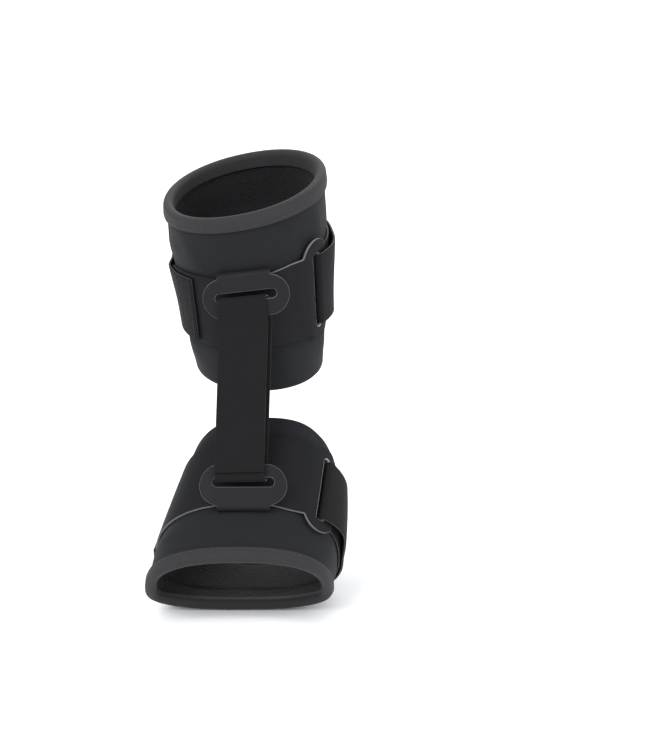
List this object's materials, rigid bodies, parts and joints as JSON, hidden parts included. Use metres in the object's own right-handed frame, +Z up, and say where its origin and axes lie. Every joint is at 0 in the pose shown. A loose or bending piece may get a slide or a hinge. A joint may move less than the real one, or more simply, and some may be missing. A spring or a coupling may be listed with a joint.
{
  "type": "plantar fasciitis night splint",
  "caption": "Worn night splint of two soft black cuffs, one round the calf and one round the midfoot, drawn together by a strap in front.",
  "frame": {"origin": "middle of the calf cuff's hollow, 162 mm above the underside of the foot cuff, where the lower leg sits", "axes": "+Z up along the leg, toes towards -Y, the side slots on +X"},
  "size_m": [0.1089, 0.1586, 0.2295],
  "materials": {
    "brushed_cloth": "matte brushed foam-backed cloth",
    "smooth_laminate": "smooth laminated cloth with a faint sheen",
    "ribbed_elastic": "finely ribbed woven elastic",
    "strap_webbing": "close woven strap cloth"
  },
  "bodies": {
    "root": {"calf_cuff": "brushed_cloth", "calf_top_binding": "ribbed_elastic", "calf_wing": "smooth_laminate", "calf_tab": "smooth_laminate", "calf_strap": "strap_webbing", "foot_cuff": "brushed_cloth", "foot_toe_binding": "ribbed_elastic", "foot_wing": "smooth_laminate", "foot_tab": "smooth_laminate", "foot_strap": "strap_webbing", "front_strap": "strap_webbing"}
  },
  "joints": []
}
